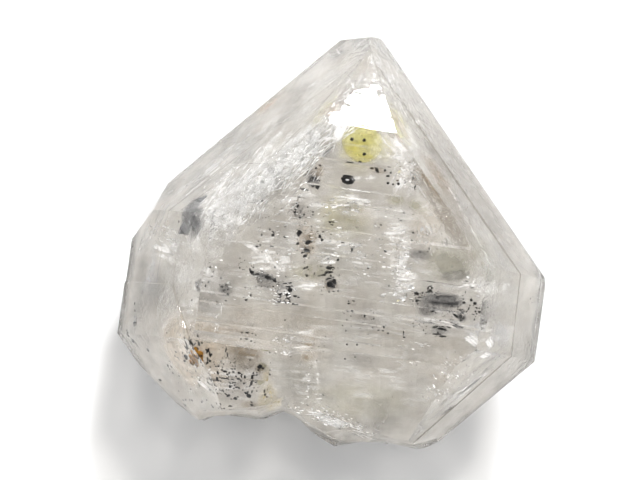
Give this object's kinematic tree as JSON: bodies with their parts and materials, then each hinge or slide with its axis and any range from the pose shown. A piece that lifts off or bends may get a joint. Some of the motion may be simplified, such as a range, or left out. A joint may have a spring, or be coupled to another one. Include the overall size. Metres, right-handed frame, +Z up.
{
  "type": "oil inclusion quartz crystal",
  "caption": "Clear doubly pointed quartz crystal with stepped flat faces and a broken foot, lying on a prism face, with a sealed yellow petroleum drop and dark bitumen inside.",
  "frame": {"origin": "middle of the crystal's outline on the surface it lies on", "axes": "+Z up from the table, +Y along the quartz c axis towards the sharp tip, +X across the crystal to the right"},
  "size_m": [0.0216, 0.0212, 0.0121],
  "materials": {
    "quartz": "clear natural rock crystal, slightly smoky, glossy faces",
    "petroleum": "yellow green liquid oil, clear",
    "bitumen": "glossy black bitumen",
    "bitumen_film": "dark grey bitumen film on a healed crack",
    "resin": "dark amber brown solid resin"
  },
  "bodies": {
    "root": {"crystal_upper": "quartz", "crystal_lower": "quartz", "oil_drop": "petroleum", "bitumen_bead": "bitumen", "bitumen_flake": "bitumen_film", "resin_grain": "resin"}
  },
  "joints": []
}
